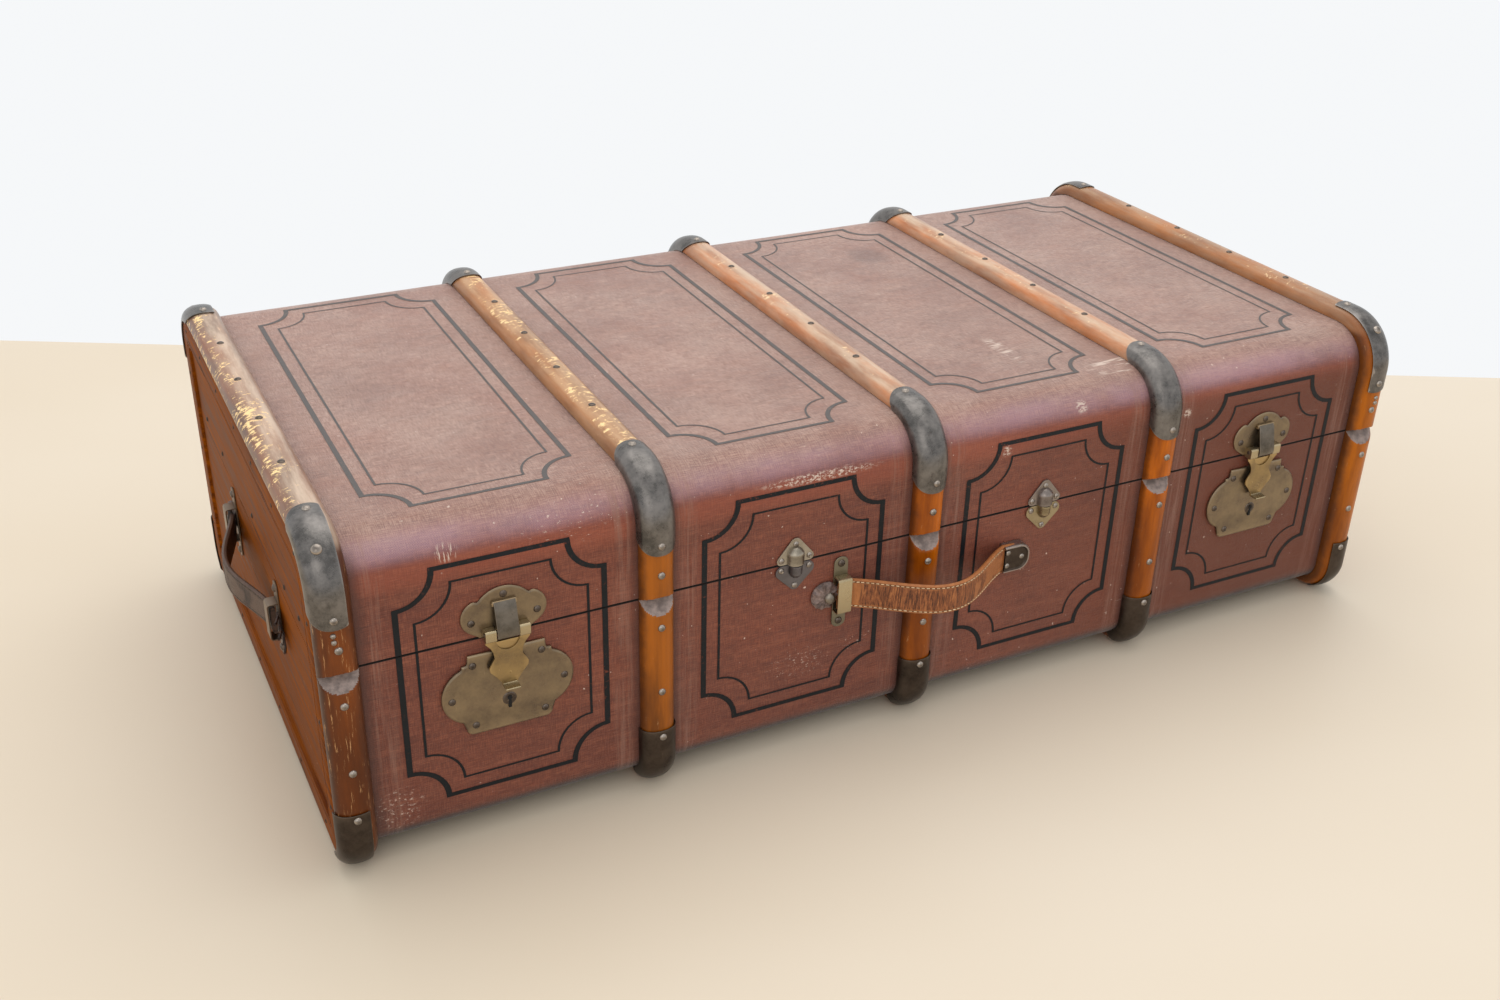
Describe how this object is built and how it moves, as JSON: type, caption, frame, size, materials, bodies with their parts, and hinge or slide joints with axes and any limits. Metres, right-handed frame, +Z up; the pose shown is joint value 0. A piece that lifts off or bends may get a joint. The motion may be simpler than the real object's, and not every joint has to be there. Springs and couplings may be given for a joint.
{
  "type": "steamer trunk",
  "caption": "Flat-topped travelling trunk in red-brown canvas with bentwood slats, metal slat caps, brass locks, rear-hinged lid and leather strap handles.",
  "frame": {"origin": "on the floor, at the middle of the underside of the middle slat, under the centre of the canvas case", "axes": "+X along the trunk to the right end seen from the front, +Y from the front to the hinged back, +Z up"},
  "size_m": [1.151, 0.6, 0.3195],
  "materials": {
    "canvas": "painted woven canvas, worn",
    "end_panel": "varnished board, worn",
    "rim_wood": "bare softwood",
    "slat_wood": "amber varnish, chipped",
    "cap_steel": "dark worn steel",
    "lock_brass": "dull tarnished",
    "lid_plate_brass": "dull tarnished",
    "catch_steel": "dull grey",
    "hinge_steel": "dull dark steel",
    "handle_leather": "worn, cracked",
    "loop_brass": "dull tarnished",
    "loop_steel": "dark worn steel"
  },
  "bodies": {
    "trunk_body": {"body_shell": "canvas", "body_end_left": "end_panel", "body_end_right": "end_panel", "body_rim": "rim_wood", "body_slat_1": "slat_wood", "body_slat_2": "slat_wood", "body_slat_3": "slat_wood", "body_slat_4": "slat_wood", "body_slat_5": "slat_wood", "front_foot_cap_1": "cap_steel", "front_foot_cap_2": "cap_steel", "front_foot_cap_3": "cap_steel", "front_foot_cap_4": "cap_steel", "front_foot_cap_5": "cap_steel", "rear_foot_cap_1": "cap_steel", "rear_foot_cap_2": "cap_steel", "rear_foot_cap_3": "cap_steel", "rear_foot_cap_4": "cap_steel", "rear_foot_cap_5": "cap_steel", "lock_plate_left": "lock_brass", "lock_plate_right": "lock_brass", "catch_lower_left": "catch_steel", "catch_lower_right": "catch_steel", "hinge_body_leaf_left": "hinge_steel", "hinge_body_leaf_right": "hinge_steel", "front_handle_loop": "loop_brass", "front_handle_cap": "loop_steel", "left_handle_loop_front": "loop_steel", "left_handle_loop_rear": "loop_steel", "right_handle_loop_front": "loop_steel", "right_handle_loop_rear": "loop_steel"},
    "lid": {"lid_shell": "canvas", "lid_end_left": "end_panel", "lid_end_right": "end_panel", "lid_slat_1": "slat_wood", "lid_slat_2": "slat_wood", "lid_slat_3": "slat_wood", "lid_slat_4": "slat_wood", "lid_slat_5": "slat_wood", "front_lid_cap_1": "cap_steel", "front_lid_cap_2": "cap_steel", "front_lid_cap_3": "cap_steel", "front_lid_cap_4": "cap_steel", "front_lid_cap_5": "cap_steel", "rear_lid_cap_1": "cap_steel", "rear_lid_cap_2": "cap_steel", "rear_lid_cap_3": "cap_steel", "rear_lid_cap_4": "cap_steel", "rear_lid_cap_5": "cap_steel", "lock_lid_plate_left": "lid_plate_brass", "lock_lid_plate_right": "lid_plate_brass", "catch_upper_left": "lock_brass", "catch_upper_right": "lock_brass", "hinge_lid_leaf_left": "hinge_steel", "hinge_lid_leaf_right": "hinge_steel"},
    "hasp_left": {"hasp_left": "lock_brass"},
    "hasp_right": {"hasp_right": "lock_brass"},
    "front_handle": {"front_handle_strap": "handle_leather"},
    "left_handle": {"left_handle_strap": "handle_leather"},
    "right_handle": {"right_handle_strap": "handle_leather"}
  },
  "joints": [
    {"name": "lid_hinge", "type": "hinge", "parent": "trunk_body", "child": "lid", "pos_m": [0, 0.2735, 0.198], "axis": [-1, 0, 0], "range_deg": [0, 100]},
    {"name": "hasp_left_hinge", "type": "hinge", "parent": "lid", "child": "hasp_left", "pos_m": [-0.3975, -0.2735, 0.203], "axis": [-1, 0, 0], "range_deg": [0, 140]},
    {"name": "hasp_right_hinge", "type": "hinge", "parent": "lid", "child": "hasp_right", "pos_m": [0.3975, -0.2735, 0.203], "axis": [-1, 0, 0], "range_deg": [0, 140]},
    {"name": "front_handle_swing", "type": "hinge", "parent": "trunk_body", "child": "front_handle", "pos_m": [-0.0855, -0.2735, 0.1565], "axis": [-0.9995, 0, 0.0322], "range_deg": [-35, 35]},
    {"name": "left_handle_swing", "type": "hinge", "parent": "trunk_body", "child": "left_handle", "pos_m": [-0.552, -0.012, 0.157], "axis": [0, 1, 0], "range_deg": [-35, 35]},
    {"name": "right_handle_swing", "type": "hinge", "parent": "trunk_body", "child": "right_handle", "pos_m": [0.552, -0.012, 0.157], "axis": [0, -1, 0], "range_deg": [-35, 35]}
  ]
}
